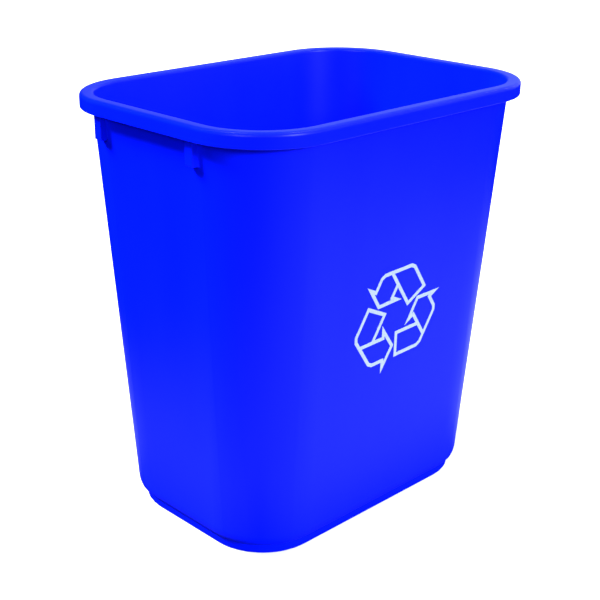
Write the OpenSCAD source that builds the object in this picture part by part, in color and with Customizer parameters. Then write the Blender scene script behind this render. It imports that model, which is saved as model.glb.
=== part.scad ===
// Deskside recycling wastebasket: one plastic moulding with a printed recycling mark.
// Millimetres. X runs along the long side, Y along the short side, and Z is up.
// The origin is the centre of the footprint, on the floor. The front wall faces -Y.

/* [Rim] */
// Length over the rim
rim_l = 356; // [340:1:400]
// Width over the rim
rim_w = 260; // [245:1:290]
// Height of the basket
height = 381; // [320:1:440]
// Corner radius of the rim, seen from above
rim_corner_r = 70; // [64:1:76]
// Height of the rim's turned-down lip
lip_h = 12.6; // [10:0.1:18]
// How far the rim stands out from the wall
rim_reach = 10.7; // [8:0.1:13]
// Radius of the rim's outer top edge
rim_edge_r = 3.5; // [2:0.5:5]

/* [Wall] */
// Wall thickness
wall_t = 2.2; // [1.6:0.1:3]
// How far the wall leans inward from just under the rim to the bottom curve
lean = 17.3; // [10:0.1:22]
// Height where the bottom curve starts
curve_z = 24; // [20:0.5:32]
// How far the bottom curve turns inward
curve_in = 5.5; // [3:0.5:6]

/* [Foot] */
// How far the foot is set in from the wall above the bottom curve
foot_inset = 6.5; // [6:0.1:10]
// Height of the foot
foot_h = 10.8; // [8:0.2:14]
// Width of the ring that the basket rests on
foot_ring_w = 7; // [5:0.5:12]
// Height of the base panel's underside above the floor
base_raise = 2.5; // [1.5:0.5:3.5]
// Thickness of the base panel
base_t = 2.8; // [2:0.2:3.2]

/* [Stacking lugs] */
// Width of a lug
lug_w = 9.6; // [6:0.2:10]
// Drop from the rim's top to a lug's lower shoulder
lug_drop = 34; // [25:0.5:50]
// How far a lug's face stands out from the wall at its lower shoulder
lug_proud = 6.3; // [4:0.1:8]
// Distance of each short wall's first lug from the middle of that wall
lug_near = 49; // [35:1:52]
// Distance of each short wall's second lug, on the other side of the middle
lug_far = 66; // [56:1:67]

/* [Printed mark] */
// Sideways place of the mark's centre on the front wall
mark_x = 2.4; // [-20:0.1:20]
// Height of the mark's centre
mark_z = 196.2; // [120:0.1:260]
// Distance from the mark's centre to the middle line of each ribbon
mark_d = 27.6; // [25:0.1:31]
// Width of a ribbon
ribbon_w = 26; // [22:0.5:27]
// Width of a printed line
line_w = 3.3; // [1.6:0.1:3.6]
// How much wider than tall the mark is drawn: widths are multiplied, heights are divided
mark_stretch = 1.053; // [0.95:0.001:1.08]
// Anticlockwise tilt of the mark, in degrees
mark_tilt = 2.2; // [-5:0.1:5]
// Thickness of the printed film
film_t = 0.2; // [0.1:0.05:0.4]

/* [Hidden] */

blue = "#0A1EFF";
white = "#F2F8FF";

corner_steps = 12;          // straight pieces in each rounded corner
curve_steps = 6;            // straight pieces in each rounding of the profile
rim_top_t = 2.4;            // thickness of the rim's top
lip_end_r = 0.8;            // rounding at the lip's lower end
inner_edge_r = 2.5;         // rounding where the rim's top turns down into the basket
foot_edge_r = 2;            // rounding at the foot's lower edge
foot_taper = 0.6;           // how far the foot leans in towards the floor
floor_r = 4;                // rounding between the base panel and the foot's inside
lug_root = 0.75;            // how deep a lug's root sits in the wall, as a share of its thickness

lip_z = height - lip_h;
rim_under_z = height - rim_top_t;
lug_top_z = height - rim_top_t / 2;
floor_z = base_raise + base_t;
slope = lean / (lip_z - curve_z);       // inward lean of the wall for each millimetre down

// The walls' outlines shrink by the same amount on every side, so one inset from the rim's
// outline describes any section. The corner radius of the drafted wall stays the same.
wall_corner_r = rim_corner_r - rim_reach;
foot_corner_r = wall_corner_r - curve_in;

// ---- sections and the skin through them ----

// A section is [inset from the rim's outline, corner radius, height].
// Points of one section, anticlockwise from +X.
function section_points(s) = [
    for (quarter = [0 : 3])
        for (step = [0 : corner_steps])
            let (
                side_x = (quarter == 0 || quarter == 3) ? 1 : -1,
                side_y = (quarter < 2) ? 1 : -1,
                angle = 90 * (quarter + step / corner_steps)
            )
            [
                side_x * (rim_l / 2 - s[0] - s[1]) + s[1] * cos(angle),
                side_y * (rim_w / 2 - s[0] - s[1]) + s[1] * sin(angle),
                s[2]
            ]
];

// Closed surface through the sections, capped flat at both ends.
module skin(sections) {
    n = 4 * (corner_steps + 1);
    last = len(sections) - 1;
    sides = [
        for (i = [0 : last - 1])
            for (j = [0 : n - 1])
                let (a = i * n + j, b = i * n + (j + 1) % n)
                each [[b, a, a + n], [b, a + n, b + n]]
    ];
    first_cap = [for (j = [0 : n - 1]) j];
    last_cap = [for (j = [n - 1 : -1 : 0]) last * n + j];
    polyhedron(
        points = [for (s = sections) each section_points(s)],
        faces = concat(sides, [first_cap, last_cap])
    );
}

// Sections along an arc of the profile, about a centre given as inset and height. Angle 0
// points outward, 90 up, 180 inward and -90 down. The corner radius follows the inset.
function rounding(inset, z, r, from, to, outline_r) = [
    for (step = [0 : curve_steps])
        let (
            angle = from + (to - from) * step / curve_steps,
            reach = inset - r * cos(angle)
        )
        [reach, outline_r - reach, z + r * sin(angle)]
];

function reverse(list) = [for (i = [len(list) - 1 : -1 : 0]) list[i]];

// ---- profile of the moulding: from under the base, up outside, over the rim, down inside ----

wall_low = rim_reach + lean;                    // inset of the wall at the bottom curve
foot_top = wall_low + foot_inset;               // inset of the foot at its top
foot_low = foot_top + foot_taper;               // inset of the foot at the floor
inner_top = wall_inset(height - inner_edge_r) + wall_t;     // inset of the inner face at the top

// Inset of the wall's outer face at a height
function wall_inset(z) = rim_reach + slope * (lip_z - z);

// The bottom curve, upward, for a surface set in from the outer one by "depth"
function bottom_curve(depth) = [
    for (step = [curve_steps : -1 : 0])
        let (
            angle = 90 * step / curve_steps,
            turn = curve_in * (1 - cos(angle)),
            drop = (curve_z - foot_h - depth) * sin(angle)
        )
        [wall_low + depth + turn, wall_corner_r - depth - turn, curve_z - drop]
];

foot_profile = concat(
    [
        [foot_low + foot_ring_w + base_raise, foot_corner_r - foot_ring_w - base_raise, base_raise],
        [foot_low + foot_ring_w, foot_corner_r - foot_ring_w, 0]
    ],
    rounding(foot_low + foot_edge_r, foot_edge_r, foot_edge_r, -90, 0, foot_low + foot_corner_r),
    [[foot_top, foot_corner_r, foot_h]]
);

outer_wall_profile = concat(
    bottom_curve(0),
    [[wall_inset(rim_under_z), wall_corner_r, rim_under_z]]
);

rim_profile = concat(
    [
        [wall_t, rim_corner_r - wall_t, rim_under_z],
        [wall_t, rim_corner_r - wall_t, lip_z]
    ],
    rounding(lip_end_r, lip_z + lip_end_r, lip_end_r, -90, 0, rim_corner_r),
    rounding(rim_edge_r, height - rim_edge_r, rim_edge_r, 0, 90, rim_corner_r),
    rounding(inner_top - inner_edge_r, height - inner_edge_r, inner_edge_r, 90, 180,
        inner_top + wall_corner_r - wall_t)
);

inner_wall_profile = reverse(bottom_curve(wall_t));

floor_profile = concat(
    [[foot_top + wall_t, foot_corner_r - wall_t, foot_h + wall_t]],
    rounding(foot_top + wall_t + floor_r, floor_z + floor_r, floor_r, 0, -90,
        foot_top + foot_corner_r)
);

// One stacking lug on the wall that faces -X: an upright rib with a flat shoulder below.
// Its root stays inside the leaning wall.
module lug(y) {
    shoulder_z = height - lug_drop;
    face = wall_inset(shoulder_z) - lug_proud - rim_l / 2;
    root = lug_root * wall_t - rim_l / 2;
    translate([0, y + lug_w / 2, 0])
        rotate([90, 0, 0])
            linear_extrude(lug_w)
                polygon([
                    [face, shoulder_z],
                    [wall_inset(shoulder_z) + root, shoulder_z],
                    [wall_inset(lug_top_z) + root, lug_top_z],
                    [face, lug_top_z]
                ]);
}

module basket_body() {
    color(blue)
        union() {
            skin(concat(
                foot_profile, outer_wall_profile, rim_profile, inner_wall_profile, floor_profile
            ));
            for (turn = [0, 180])
                rotate([0, 0, turn]) {
                    lug(-lug_near);
                    lug(lug_far);
                }
        }
}

// ---- printed mark: three ribbons that chase each other round a triangle ----

half_w = ribbon_w / 2;
first_side = 30;            // direction of the side that the top ribbon starts on, in degrees
next_side = 150;            // direction of the side that it ends on
tail_start = -0.7;          // where a ribbon starts, measured from the middle of its side
head_start = -16.5;         // where the arrowhead starts, before the middle of the next side
head_tip = -1.8;            // where the arrowhead ends
head_half_w = 24.2;         // half width of the arrowhead
fold_rise = 6.8;            // how much further out the fold is cut flat than a ribbon's outer edge lies
fold_v = mark_d + half_w + fold_rise;   // height of the flat-cut corner between the two sides
corner_cut = 3.2;           // how much of each edge the blunted outer corner of a fold takes

// A point beside one side of the triangle: "along" runs anticlockwise from the side's
// middle, and "out" from the ribbon's middle line.
function side_point(side, along, out) = [
    cos(side) * (mark_d + out) - sin(side) * along,
    sin(side) * (mark_d + out) + cos(side) * along
];

// Where a line beside a side crosses the flat-cut corner
function corner_point(side, out) =
    side_point(side, (fold_v - sin(side) * (mark_d + out)) / cos(side), out);

// The end of a blunted corner's cut, on the edge that runs from the corner towards a point
function cut_point(corner, towards) =
    corner + corner_cut * (towards - corner) / norm(towards - corner);

tail_corner = corner_point(first_side, half_w);
tail_shape = [
    side_point(first_side, tail_start, -half_w),
    side_point(first_side, tail_start, half_w),
    cut_point(tail_corner, side_point(first_side, tail_start, half_w)),
    cut_point(tail_corner, corner_point(first_side, -half_w)),
    corner_point(first_side, -half_w)
];

head_corner = corner_point(next_side, half_w);
head_shape = [
    corner_point(next_side, -half_w),
    cut_point(head_corner, corner_point(next_side, -half_w)),
    cut_point(head_corner, side_point(next_side, head_start, half_w)),
    side_point(next_side, head_start, half_w),
    side_point(next_side, head_start, head_half_w),
    side_point(next_side, head_tip, 0),
    side_point(next_side, head_start, -head_half_w),
    side_point(next_side, head_start, -half_w)
];

// A shape turned about the mark's centre, then stretched
function placed(shape, turn) = [
    for (p = shape)
        [
            (p[0] * cos(turn) - p[1] * sin(turn)) * mark_stretch,
            (p[0] * sin(turn) + p[1] * cos(turn)) / mark_stretch
        ]
];

// The same anticlockwise outline with every side moved inward by d
function inward(p, d) = [
    for (i = [0 : len(p) - 1])
        let (
            before = p[(i + len(p) - 1) % len(p)],
            after = p[(i + 1) % len(p)],
            u = (p[i] - before) / norm(p[i] - before),
            v = (after - p[i]) / norm(after - p[i])
        )
        p[i] + d * (v - u) / (u[0] * v[1] - u[1] * v[0])
];

module line_drawing(shape) {
    difference() {
        polygon(shape);
        polygon(inward(shape, line_w));
    }
}

// One ribbon, with either its head or its tail drawn on top at the fold
module ribbon(turn, head_on_top) {
    tail = placed(tail_shape, turn + mark_tilt);
    head = placed(head_shape, turn + mark_tilt);
    over = head_on_top ? head : tail;
    under = head_on_top ? tail : head;
    line_drawing(over);
    difference() {
        line_drawing(under);
        polygon(over);
    }
}

// A printed ribbon on the outer face of the front wall
module mark_arrow(turn, head_on_top) {
    color(white)
        translate([mark_x, wall_inset(mark_z) - rim_w / 2, mark_z])
            rotate([90 + atan(slope), 0, 0])
                linear_extrude(film_t)
                    ribbon(turn, head_on_top);
}

module mark_arrow_top() {
    mark_arrow(0, false);
}

module mark_arrow_left() {
    mark_arrow(120, true);
}

module mark_arrow_right() {
    mark_arrow(240, true);
}

basket_body();
mark_arrow_top();
mark_arrow_left();
mark_arrow_right();
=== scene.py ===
"""Deskside recycling wastebasket: the looks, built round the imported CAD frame.

Sizes are in millimetres until a mesh is made; Blender works in metres.
"""

import math

import bpy
from mathutils import Matrix, Vector


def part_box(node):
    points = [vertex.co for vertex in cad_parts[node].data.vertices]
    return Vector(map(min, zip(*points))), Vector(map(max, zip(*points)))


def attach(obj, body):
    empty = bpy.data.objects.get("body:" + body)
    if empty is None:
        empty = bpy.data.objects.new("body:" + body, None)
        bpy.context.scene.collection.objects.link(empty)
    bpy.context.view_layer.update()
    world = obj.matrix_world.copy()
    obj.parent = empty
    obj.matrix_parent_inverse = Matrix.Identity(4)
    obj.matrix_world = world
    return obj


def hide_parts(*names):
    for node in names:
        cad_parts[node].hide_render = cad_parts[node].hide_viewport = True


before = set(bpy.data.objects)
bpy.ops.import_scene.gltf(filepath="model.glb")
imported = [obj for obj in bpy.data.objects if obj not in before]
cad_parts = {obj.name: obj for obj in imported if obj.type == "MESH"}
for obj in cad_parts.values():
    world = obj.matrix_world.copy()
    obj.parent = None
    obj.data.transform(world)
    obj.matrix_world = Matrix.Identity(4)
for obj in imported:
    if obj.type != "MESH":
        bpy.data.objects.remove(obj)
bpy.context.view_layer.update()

MM = 0.001

# ---- sizes of the moulding; the outer box comes from the frame ----

basket_low, basket_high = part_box("basket_body")
RIM_L = (basket_high.x - basket_low.x) / MM
RIM_W = (basket_high.y - basket_low.y) / MM
HEIGHT = (basket_high.z - basket_low.z) / MM
RIM_CORNER_R = 70.0
LIP_H = 12.6
RIM_REACH = 10.7
RIM_TOP_T = 2.4
RIM_EDGE_R = 3.5
RIM_CROWN = 0.35            # how far the rim's top falls away towards the inside
WALL_T = 2.2
LEAN = 17.3                 # how far the wall leans in from the rim to the bottom curve
CURVE_Z = 24.0
CURVE_IN = 5.5
FOOT_INSET = 6.5
FOOT_H = 10.8
FOOT_TAPER = 0.6
FOOT_EDGE_R = 2.0
FOOT_RING_W = 7.0
BASE_RAISE = 2.5
BASE_T = 2.8
PANEL_EDGE_R = 0.6          # where the resting ring's flat turns up to the base's panel
FLOOR_R = 4.0               # between the inside bottom and the walls
LUG_W = 9.6
LUG_DROP = 34.0             # from the rim's top to a lug's shoulder
LUG_PROUD = 6.3             # at the shoulder
LUG_NEAR = 49.0
LUG_FAR = 66.0
LUG_EDGE_LEAN = 0.25        # how much a lug's edge leans over its height
LUG_ROOT_R = 0.9
LUG_EDGE_R = 1.0
LIP_T = 2.0
LIP_END_R = 0.9
LIP_BULGE = 0.2             # how much wider the lip's end is than a half round
HOLLOW_R = 1.0              # inner corner of the hollow behind the lip
RIM_ROOT_R = 1.5            # where the wall meets the rim's underside
RIM_INNER_R = 2.5           # where the rim's top turns down into the basket

# Fine profiles: (inset, rise) from the foot's top edge, outside and inside
FOOT_ROOT = ((0.1, -1.0), (0.0, -0.4), (-0.3, 0.0))
FLOOR_ROOT = ((-0.4, 0.0), (0.0, -0.8))

# Gate point under the base: (radius, rise) from the panel
GATE = ((2.0, -0.9), (2.6, -0.7), (3.0, 0.0), (9.0, 0.0), (9.8, 0.5), (20.0, 0.5), (20.8, 0.0))

LIP_Z = HEIGHT - LIP_H
RIM_UNDER_Z = HEIGHT - RIM_TOP_T
LUG_Z = HEIGHT - LUG_DROP
FLOOR_Z = BASE_RAISE + BASE_T
WALL_CORNER_R = RIM_CORNER_R - RIM_REACH
FOOT_CORNER_R = WALL_CORNER_R - CURVE_IN
SLOPE = LEAN / (LIP_Z - CURVE_Z)
WALL_LOW = RIM_REACH + LEAN
FOOT_TOP = WALL_LOW + FOOT_INSET
FOOT_LOW = FOOT_TOP + FOOT_TAPER

# Mesh density
ARC_STEPS = 6
CORNER_STEPS = 16
CURVE_STEPS = 14
LIP_STEPS = 4
EDGE_STEPS = 10
INNER_STEPS = 8
SIDE_STEP = 9.0             # largest gap between columns on a straight side
LUG_STEP_Y = 2.0            # the same across a lug's face
WALL_STEP = 30.0            # largest gap between rings up the wall
LUG_STEP_Z = 6.0            # the same up the lugs
INNER_DROP = 12.0           # how far below the rim's top the inner wall's first ring is
RIM_TOP_SHARES = (0.25, 0.5, 0.75)          # places of the rings across the rim's flat top
PANEL_SHARES = (0.35, 0.55, 0.75, 0.9)      # sizes of the rings across the base
FLOOR_CIRCLES = (20.0, 8.0, 2.0)            # radii of the innermost rings on the inside bottom


def wall_inset(z):
    """How far the wall's outer face stands in from the rim's outline at a height."""
    return RIM_REACH + SLOPE * (LIP_Z - z)


LUG_FACE_X = RIM_L / 2 - wall_inset(LUG_Z) + LUG_PROUD


# ---- columns: places round the outline where the mesh has an upright edge ----

def step_profile(fillet, edge):
    """Distance and share of full height across a lug's edge, with a fillet at its foot."""
    profile = []
    for k in range(ARC_STEPS + 1):
        a = math.pi / 2 * k / ARC_STEPS
        rise = fillet - fillet * math.cos(a)
        profile.append((-fillet + fillet * math.sin(a), rise / LUG_PROUD))
    for k in range(ARC_STEPS + 1):
        a = math.pi / 2 * k / ARC_STEPS
        rise = LUG_PROUD - edge + edge * math.sin(a)
        profile.append((LUG_EDGE_LEAN + edge - edge * math.cos(a), rise / LUG_PROUD))
    return profile


LUG_PROFILE = step_profile(LUG_ROOT_R, LUG_EDGE_R)
SIDE_END_Y = 77.0           # last column of a short side; corners start here
SIDE_END_X = 108.0          # last column of a long side


def spread(start, end, gap):
    """Evenly spaced values from start up to, but not including, end."""
    count = max(1, math.ceil((end - start) / gap))
    return [start + (end - start) * k / count for k in range(count)]


def side_columns():
    """(y, lug share) for each column of the +X side, from -SIDE_END_Y to SIDE_END_Y."""
    columns = []
    reached = -SIDE_END_Y
    for centre in (-LUG_FAR, LUG_NEAR):
        rising = [(centre - LUG_W / 2 + d, share) for d, share in LUG_PROFILE]
        falling = [(centre + LUG_W / 2 - d, share) for d, share in reversed(LUG_PROFILE)]
        columns += [(y, 0.0) for y in spread(reached, rising[0][0], SIDE_STEP)]
        columns += rising
        columns += [(y, 1.0) for y in spread(rising[-1][0], falling[0][0], LUG_STEP_Y)[1:]]
        columns += falling[:-1]
        reached = falling[-1][0]
    columns += [(y, 0.0) for y in spread(reached, SIDE_END_Y, SIDE_STEP)]
    return columns + [(SIDE_END_Y, 0.0)]


SIDE_COLUMNS = side_columns()
END_COLUMNS = [-x for x in spread(-SIDE_END_X, SIDE_END_X, SIDE_STEP)] + [-SIDE_END_X]


def ring(inset, radius, z, lug_share=0.0):
    """Points of one section of the moulding, anticlockwise from the +X side, in millimetres."""
    half_x = RIM_L / 2 - inset
    half_y = RIM_W / 2 - inset
    centre_x = half_x - radius
    centre_y = half_y - radius
    start = math.asin(max(0.0, SIDE_END_Y - centre_y) / radius)
    end = math.acos(max(0.0, SIDE_END_X - centre_x) / radius)
    half = []
    for y, share in SIDE_COLUMNS:
        x = centre_x + math.sqrt(radius**2 - max(0.0, abs(y) - centre_y) ** 2)
        x += min(share, lug_share) * max(0.0, LUG_FACE_X - x)
        half.append((x, y))
    angles = [start + (end - start) * k / CORNER_STEPS for k in range(1, CORNER_STEPS)]
    half += [(centre_x + radius * math.cos(a), centre_y + radius * math.sin(a)) for a in angles]
    for x in END_COLUMNS:
        half.append((x, centre_y + math.sqrt(radius**2 - max(0.0, abs(x) - centre_x) ** 2)))
    half += [(-centre_x - radius * math.cos(a), centre_y + radius * math.sin(a))
             for a in reversed(angles)]
    return [(x, y, z) for x, y in half] + [(-x, -y, z) for x, y in half]


def arc(inset, z, radius, start, end, outline_r, steps=ARC_STEPS):
    """Rings along a rounding of the profile; 0 degrees points outward and 90 up."""
    rings = []
    for k in range(steps + 1):
        a = math.radians(start + (end - start) * k / steps)
        reach = inset - radius * math.cos(a)
        rings.append(ring(reach, outline_r - reach, z + radius * math.sin(a)))
    return rings


def bottom_curve(depth):
    """The turn from wall to foot, upward, at a depth inside the outer face."""
    rings = []
    for k in range(CURVE_STEPS, -1, -1):
        a = math.pi / 2 * k / CURVE_STEPS
        turn = CURVE_IN * (1 - math.cos(a))
        drop = (CURVE_Z - FOOT_H - depth) * math.sin(a)
        rings.append(ring(WALL_LOW + depth + turn, WALL_CORNER_R - depth - turn, CURVE_Z - drop))
    return rings


def shrunk(points, share, z):
    """The same ring drawn in towards the middle."""
    return [(x * share, y * share, z) for x, y, _ in points]


def circle(points, radius, z):
    """The same ring turned into a circle."""
    return [(radius * x / math.hypot(x, y), radius * y / math.hypot(x, y), z)
            for x, y, _ in points]


# ---- the moulding's rings, from the base's underside, up outside, over the rim, down inside ----

def underside_rings():
    """From the gate point in the middle, over the raised panel, to the resting ring."""
    edge_inset = FOOT_LOW + FOOT_RING_W
    recess = ring(edge_inset + BASE_RAISE, FOOT_CORNER_R - FOOT_RING_W - BASE_RAISE, BASE_RAISE)
    rings = [circle(recess, r, BASE_RAISE + rise) for r, rise in GATE]
    rings += [shrunk(recess, share, BASE_RAISE) for share in PANEL_SHARES]
    rings.append(recess)
    outline_r = edge_inset + FOOT_CORNER_R - FOOT_RING_W
    return rings + arc(edge_inset + PANEL_EDGE_R, PANEL_EDGE_R, PANEL_EDGE_R, -135, -90,
                       outline_r, steps=2)


def foot_rings():
    """Up the recessed foot to the small fillet under the bottom curve."""
    outline_r = FOOT_LOW + FOOT_CORNER_R
    rings = arc(FOOT_LOW + FOOT_EDGE_R, FOOT_EDGE_R, FOOT_EDGE_R, -90, 0, outline_r)
    for step, rise in FOOT_ROOT:
        rings.append(ring(FOOT_TOP + step, FOOT_CORNER_R - step, FOOT_H + rise))
    return rings


def outer_wall_rings():
    """Bottom curve, wall, lugs and the fillet under the rim."""
    rings = bottom_curve(0.0)
    shoulder = [(LUG_Z + d, share) for d, share in LUG_PROFILE]
    for z in spread(CURVE_Z, shoulder[0][0], WALL_STEP)[1:]:
        rings.append(ring(wall_inset(z), WALL_CORNER_R, z))
    for z, share in shoulder:
        rings.append(ring(wall_inset(z), WALL_CORNER_R, z, share))
    top = RIM_UNDER_Z - RIM_ROOT_R
    for z in spread(shoulder[-1][0], top, LUG_STEP_Z)[1:]:
        rings.append(ring(wall_inset(z), WALL_CORNER_R, z, 1.0))
    for k in range(ARC_STEPS + 1):
        a = math.pi / 2 * k / ARC_STEPS
        reach = wall_inset(top) - RIM_ROOT_R * (1 - math.cos(a))
        rings.append(ring(reach, RIM_CORNER_R - reach, top + RIM_ROOT_R * math.sin(a), 1.0))
    return rings


def rim_rings():
    """Out under the rim, down inside the lip, round its end, up outside and in over the top."""
    end_z = LIP_Z + LIP_END_R
    rings = arc(LIP_T + HOLLOW_R, RIM_UNDER_Z - HOLLOW_R, HOLLOW_R, 90, 0, RIM_CORNER_R, LIP_STEPS)
    rings += arc(LIP_END_R + LIP_BULGE, end_z, LIP_END_R, -180, -90, RIM_CORNER_R, LIP_STEPS)
    rings += arc(LIP_END_R, end_z, LIP_END_R, -90, 0, RIM_CORNER_R)
    rings += arc(RIM_EDGE_R, HEIGHT - RIM_EDGE_R, RIM_EDGE_R, 0, 90, RIM_CORNER_R, EDGE_STEPS)
    inner_top = wall_inset(HEIGHT - RIM_INNER_R) + WALL_T
    top_end = inner_top - RIM_INNER_R
    for share in RIM_TOP_SHARES:
        reach = RIM_EDGE_R + share * (top_end - RIM_EDGE_R)
        rings.append(ring(reach, RIM_CORNER_R - reach, HEIGHT - RIM_CROWN * share**2))
    outline_r = inner_top + WALL_CORNER_R - WALL_T
    return rings + arc(top_end, HEIGHT - RIM_CROWN - RIM_INNER_R, RIM_INNER_R, 90, 180,
                       outline_r, INNER_STEPS)


def inner_wall_rings():
    """Down the inside of the wall and the bottom curve."""
    rings = []
    for z in reversed(spread(CURVE_Z, HEIGHT - INNER_DROP, WALL_STEP)[1:]):
        rings.append(ring(wall_inset(z) + WALL_T, WALL_CORNER_R - WALL_T, z))
    return rings + bottom_curve(WALL_T)[::-1]


def floor_rings():
    """Inside of the foot and the bottom, in to the middle."""
    inset = FOOT_TOP + WALL_T
    radius = FOOT_CORNER_R - WALL_T
    rings = []
    for step, rise in FLOOR_ROOT:
        rings.append(ring(inset + step, radius - step, FOOT_H + WALL_T + rise))
    rings += arc(inset + FLOOR_R, FLOOR_Z + FLOOR_R, FLOOR_R, 0, -90, inset + radius, INNER_STEPS)
    edge = rings[-1]
    rings += [shrunk(edge, share, FLOOR_Z) for share in reversed(PANEL_SHARES)]
    return rings + [circle(edge, r, FLOOR_Z) for r in FLOOR_CIRCLES]


def skin(name, rings):
    """A closed quad surface through the rings, with a fan at each end."""
    count = len(rings[0])
    points = [(x * MM, y * MM, z * MM) for section in rings for x, y, z in section]
    faces = []
    for i in range(len(rings) - 1):
        for j in range(count):
            a = i * count + j
            b = i * count + (j + 1) % count
            faces.append((a, b, b + count, a + count))
    for first, flip in ((0, True), (len(rings) - 1, False)):
        corners = points[first * count:(first + 1) * count]
        points.append((0.0, 0.0, corners[0][2]))
        for j in range(count):
            a = first * count + j
            b = first * count + (j + 1) % count
            faces.append((b, a, len(points) - 1) if flip else (a, b, len(points) - 1))
    mesh = bpy.data.meshes.new(name)
    mesh.from_pydata(points, [], faces)
    mesh.validate()
    mesh.shade_smooth()
    piece = bpy.data.objects.new(name, mesh)
    bpy.context.scene.collection.objects.link(piece)
    return piece


def basket():
    rings = underside_rings() + foot_rings() + outer_wall_rings()
    rings += rim_rings() + inner_wall_rings() + floor_rings()
    piece = skin("basket_shell", rings)
    normals = piece.modifiers.new("even_shading", "WEIGHTED_NORMAL")
    normals.weight = 80
    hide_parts("basket_body")
    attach(piece, "root")
    return piece


# ---- materials ----

class Nodes:
    """A short way to build a node material."""

    def __init__(self, name):
        self.material = bpy.data.materials.new(name)
        self.material.use_nodes = True
        self.tree = self.material.node_tree
        self.shader = self.tree.nodes["Principled BSDF"]

    def add(self, kind, **values):
        node = self.tree.nodes.new(kind)
        for key, value in values.items():
            if hasattr(node, key):
                setattr(node, key, value)
            else:
                node.inputs[key].default_value = value
        return node

    def link(self, source, target):
        self.tree.links.new(source, target)

    def noise(self, vector, scale, detail=3.0):
        node = self.add("ShaderNodeTexNoise", Scale=scale, Detail=detail)
        self.link(vector, node.inputs["Vector"])
        return node.outputs["Fac"]

    def remap(self, value, low, high, to_low, to_high):
        node = self.add("ShaderNodeMapRange")
        for key, number in (("From Min", low), ("From Max", high),
                            ("To Min", to_low), ("To Max", to_high)):
            node.inputs[key].default_value = number
        self.link(value, node.inputs["Value"])
        return node.outputs["Result"]

    def mix(self, share, first, second):
        node = self.add("ShaderNodeMix", data_type="RGBA")
        self.link(share, node.inputs[0])
        for socket, colour in ((node.inputs[6], first), (node.inputs[7], second)):
            if isinstance(colour, tuple):
                socket.default_value = colour
            else:
                self.link(colour, socket)
        return node.outputs[2]

    def box_distance(self, place, half_x, half_y):
        """Roughly how far a place is outside an upright box about the origin."""
        split = self.add("ShaderNodeSeparateXYZ")
        self.link(place, split.inputs[0])
        gaps = []
        for axis, half in (("X", half_x), ("Y", half_y)):
            size = self.add("ShaderNodeMath", operation="ABSOLUTE")
            self.link(split.outputs[axis], size.inputs[0])
            gap = self.add("ShaderNodeMath", operation="SUBTRACT")
            self.link(size.outputs[0], gap.inputs[0])
            gap.inputs[1].default_value = half
            gaps.append(gap.outputs[0])
        widest = self.add("ShaderNodeMath", operation="MAXIMUM")
        self.link(gaps[0], widest.inputs[0])
        self.link(gaps[1], widest.inputs[1])
        return widest.outputs[0]

    def bump(self, height, distance, strength, below=None):
        node = self.add("ShaderNodeBump")
        node.inputs["Distance"].default_value = distance
        node.inputs["Strength"].default_value = strength
        self.link(height, node.inputs["Height"])
        if below is not None:
            self.link(below, node.inputs["Normal"])
        return node.outputs["Normal"]


# Colours in linear light; each pair is blended by a noise
BLUE_DEEP = (0.0003, 0.0053, 0.95, 1.0)
BLUE_PALE = (0.0005, 0.0061, 0.97, 1.0)
INK_FULL = (0.40, 0.44, 0.60, 1.0)
INK_THIN = (0.33, 0.37, 0.58, 1.0)
PAPER_DARK = (0.30, 0.30, 0.30, 1.0)
PAPER_PALE = (0.32, 0.32, 0.32, 1.0)
COOL_WHITE = (0.85, 1.0, 1.15, 1.0)
BLACK = (0.0, 0.0, 0.0, 1.0)
WHITE = (1.0, 1.0, 1.0, 1.0)


def blue_plastic():
    """Satin moulded polyethylene: a fine grain, faint flow streaks and a soft sheen."""
    nodes = Nodes("blue_plastic")
    place = nodes.add("ShaderNodeTexCoord").outputs["Object"]
    stretch = nodes.add("ShaderNodeMapping")
    stretch.inputs["Scale"].default_value = (1.0, 1.0, 0.12)
    nodes.link(place, stretch.inputs["Vector"])
    streaks = nodes.noise(stretch.outputs["Vector"], 26.0, 4.0)
    clouds = nodes.noise(place, 9.0, 2.0)
    grain = nodes.noise(place, 1400.0, 2.0)
    waves = nodes.noise(place, 60.0, 2.0)
    colour = nodes.mix(nodes.remap(streaks, 0.35, 0.65, 0.0, 1.0), BLUE_DEEP, BLUE_PALE)
    nodes.link(colour, nodes.shader.inputs["Base Color"])
    nodes.link(nodes.remap(clouds, 0.3, 0.7, 0.30, 0.36), nodes.shader.inputs["Roughness"])
    fine = nodes.bump(grain, 0.00004, 0.35)
    nodes.link(nodes.bump(waves, 0.0002, 0.12, fine), nodes.shader.inputs["Normal"])
    nodes.shader.inputs["Specular IOR Level"].default_value = 0.12
    return nodes.material


def white_print():
    """Printed film: matt white ink, a little uneven, with the blue just showing through."""
    nodes = Nodes("white_print")
    place = nodes.add("ShaderNodeTexCoord").outputs["Object"]
    blotches = nodes.noise(place, 420.0, 3.0)
    specks = nodes.noise(place, 2600.0, 2.0)
    colour = nodes.mix(nodes.remap(blotches, 0.35, 0.7, 0.0, 1.0), INK_FULL, INK_THIN)
    nodes.link(colour, nodes.shader.inputs["Base Color"])
    nodes.link(nodes.remap(blotches, 0.3, 0.7, 0.5, 0.65), nodes.shader.inputs["Roughness"])
    nodes.link(nodes.bump(specks, 0.00003, 0.4), nodes.shader.inputs["Normal"])
    return nodes.material


# The floor's painted glow and painted shade: places in metres, and strengths
POOL_MIDDLE = (0.20, -0.30, 0.0)
POOL_FULL = 0.40            # even out to here
POOL_END = 0.85             # gone from here on
POOL_GLOW = 0.93
PAINTED_SHADE_REACH = 0.09          # how far from the foot the painted shade ends
PAINTED_SHADE_GLOW = 0.03           # what is left of the painted glow at the foot, under the painted shade
CAMERA_GLOW = 0.75
FOOT_HALF_X = (RIM_L / 2 - FOOT_LOW) * MM
FOOT_HALF_Y = (RIM_W / 2 - FOOT_LOW) * MM


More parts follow.
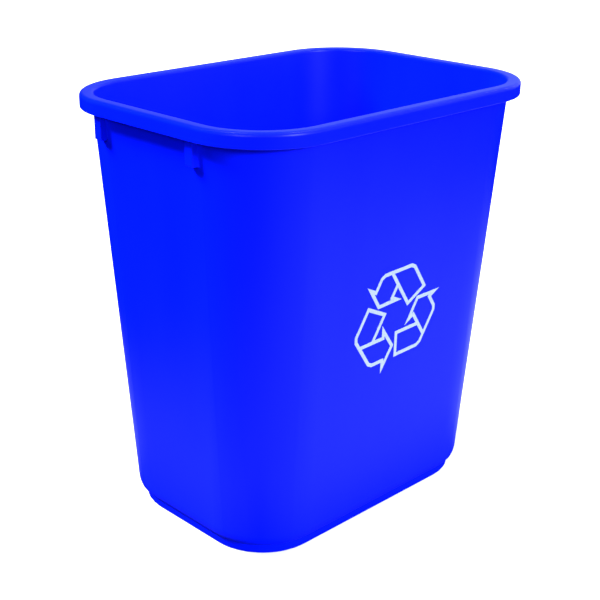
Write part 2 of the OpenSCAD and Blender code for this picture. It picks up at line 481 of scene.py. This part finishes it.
def floor_white():
    """Floor that glows like a light table: even white to the camera. To other rays it is black
    paper with a painted pool of cool glow at the front right that fades away from the pool's
    middle, and painted shade close to the basket in place of its contact shadow."""
    nodes = Nodes("floor_white")
    place = nodes.add("ShaderNodeTexCoord").outputs["Object"]
    paper = nodes.mix(nodes.noise(place, 0.7), PAPER_DARK, PAPER_PALE)
    # Painted light: a pool of glow round POOL_MIDDLE, even out to POOL_FULL and gone by POOL_END,
    # for all rays but the camera's
    distance = nodes.add("ShaderNodeVectorMath", operation="DISTANCE")
    nodes.link(place, distance.inputs[0])
    distance.inputs[1].default_value = POOL_MIDDLE
    pool = nodes.remap(distance.outputs["Value"], POOL_FULL, POOL_END, POOL_GLOW, 0.0)
    # Painted shade: the glow falls almost to nothing near the foot, standing in for the basket's
    # contact shadow
    gap = nodes.box_distance(place, FOOT_HALF_X, FOOT_HALF_Y)
    painted_contact_shade = nodes.remap(gap, 0.0, PAINTED_SHADE_REACH, PAINTED_SHADE_GLOW, 1.0)
    glow = nodes.add("ShaderNodeMath", operation="MULTIPLY")
    nodes.link(pool, glow.inputs[0])
    nodes.link(painted_contact_shade, glow.inputs[1])
    seen = nodes.add("ShaderNodeLightPath").outputs["Is Camera Ray"]
    colour = nodes.mix(seen, BLACK, paper)
    nodes.link(colour, nodes.shader.inputs["Base Color"])
    tint = nodes.mix(seen, COOL_WHITE, WHITE)
    nodes.link(tint, nodes.shader.inputs["Emission Color"])
    shine = nodes.add("ShaderNodeMix")
    nodes.link(seen, shine.inputs[0])
    nodes.link(glow.outputs[0], shine.inputs[2])
    shine.inputs[3].default_value = CAMERA_GLOW
    nodes.link(shine.outputs[0], nodes.shader.inputs["Emission Strength"])
    nodes.shader.inputs["Roughness"].default_value = 0.9
    nodes.shader.inputs["Specular IOR Level"].default_value = 0.0
    return nodes.material


# ---- stage, light and camera ----

def floor():
    mesh = bpy.data.meshes.new("floor")
    half = 8.0
    mesh.from_pydata([(-half, -half, 0), (half, -half, 0), (half, half, 0), (-half, half, 0)],
                     [], [(0, 1, 2, 3)])
    plane = bpy.data.objects.new("floor", mesh)
    bpy.context.scene.collection.objects.link(plane)
    plane.data.materials.append(floor_white())


def aimed(name, data, place, target):
    """An object at a place, looking at a target."""
    lamp = bpy.data.objects.new(name, data)
    bpy.context.scene.collection.objects.link(lamp)
    lamp.location = place
    lamp.rotation_euler = (Vector(target) - Vector(place)).to_track_quat("-Z", "Y").to_euler()
    return lamp


def far_light(name, towards, strength, spread_angle, colour=WHITE):
    """A large, far softbox: parallel light that travels along a direction."""
    data = bpy.data.lights.new(name, "SUN")
    data.energy = strength
    data.angle = spread_angle
    data.color = colour[:3]
    return aimed(name, data, (0.0, 0.0, 0.0), towards)


# Which way the background is bright, and how its glow grows towards there
BRIGHT_SIDE = (0.78, -0.61, 0.12)
BACKGROUND_RAMP = (("From Min", -0.3), ("From Max", 0.7), ("To Min", 0.02), ("To Max", 1.0))


def studio():
    """White to the camera; otherwise bright at the front right and dark at the back left."""
    world = bpy.data.worlds.new("studio")
    world.use_nodes = True
    nodes = world.node_tree.nodes
    link = world.node_tree.links.new
    facing = nodes.new("ShaderNodeVectorMath")
    facing.operation = "DOT_PRODUCT"
    facing.inputs[1].default_value = BRIGHT_SIDE
    link(nodes.new("ShaderNodeTexCoord").outputs["Generated"], facing.inputs[0])
    ramp = nodes.new("ShaderNodeMapRange")
    for key, value in BACKGROUND_RAMP:
        ramp.inputs[key].default_value = value
    link(facing.outputs["Value"], ramp.inputs["Value"])
    glow = nodes.new("ShaderNodeVectorMath")
    glow.operation = "SCALE"
    glow.inputs[0].default_value = COOL_WHITE[:3]
    link(ramp.outputs["Result"], glow.inputs["Scale"])
    seen = nodes.new("ShaderNodeMix")
    seen.data_type = "RGBA"
    link(nodes.new("ShaderNodeLightPath").outputs["Is Camera Ray"], seen.inputs[0])
    link(glow.outputs["Vector"], seen.inputs[6])
    seen.inputs[7].default_value = WHITE
    link(seen.outputs[2], nodes["Background"].inputs["Color"])
    bpy.context.scene.world = world


def lights():
    key = far_light("key_from_behind_left", (6.5, -8.6, -11.2), 15.0, 0.43)
    key.visible_glossy = False
    far_light("fill_from_left", (0.86, 0.3, -0.43), 1.25, 0.3)
    far_light("fill_from_front", (0.0, 0.93, -0.37), 3.4, 0.25, COOL_WHITE)
    right = far_light("fill_from_right", (-0.9, 0.15, -0.45), 2.6, 0.3)
    right.visible_glossy = False
    far_light("overhead_right", (-0.38, 0.225, -0.9), 0.65, 0.12)
    far_light("overhead_left", (0.133, -0.266, -0.95), 0.75, 0.12)
    studio()


def camera():
    """A long lens, seen from the corner between the printed wall and a short end."""
    azimuth = math.radians(-43.71)
    elevation = math.radians(22.94)
    distance = 1.0765
    back = Vector((math.sin(azimuth) * math.cos(elevation),
                   -math.cos(azimuth) * math.cos(elevation), math.sin(elevation)))
    target = Vector((-0.0336, 0.0, 0.1563))
    data = bpy.data.cameras.new("camera")
    data.sensor_width = 36.0
    data.lens = 70.64
    data.shift_x = 0.0390
    data.shift_y = 0.0566
    view = aimed("camera", data, target + distance * back, target)
    view.rotation_euler = (view.rotation_euler.to_matrix()
                           @ Matrix.Rotation(math.radians(0.26), 3, "Z")).to_euler()
    bpy.context.scene.camera = view


blue = blue_plastic()
white = white_print()
basket().data.materials.append(blue)
for node in ("mark_arrow_top", "mark_arrow_left", "mark_arrow_right"):
    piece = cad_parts[node]
    piece.data.materials.clear()
    piece.data.materials.append(white)
floor()
lights()
camera()
bpy.context.scene.view_settings.view_transform = "Standard"
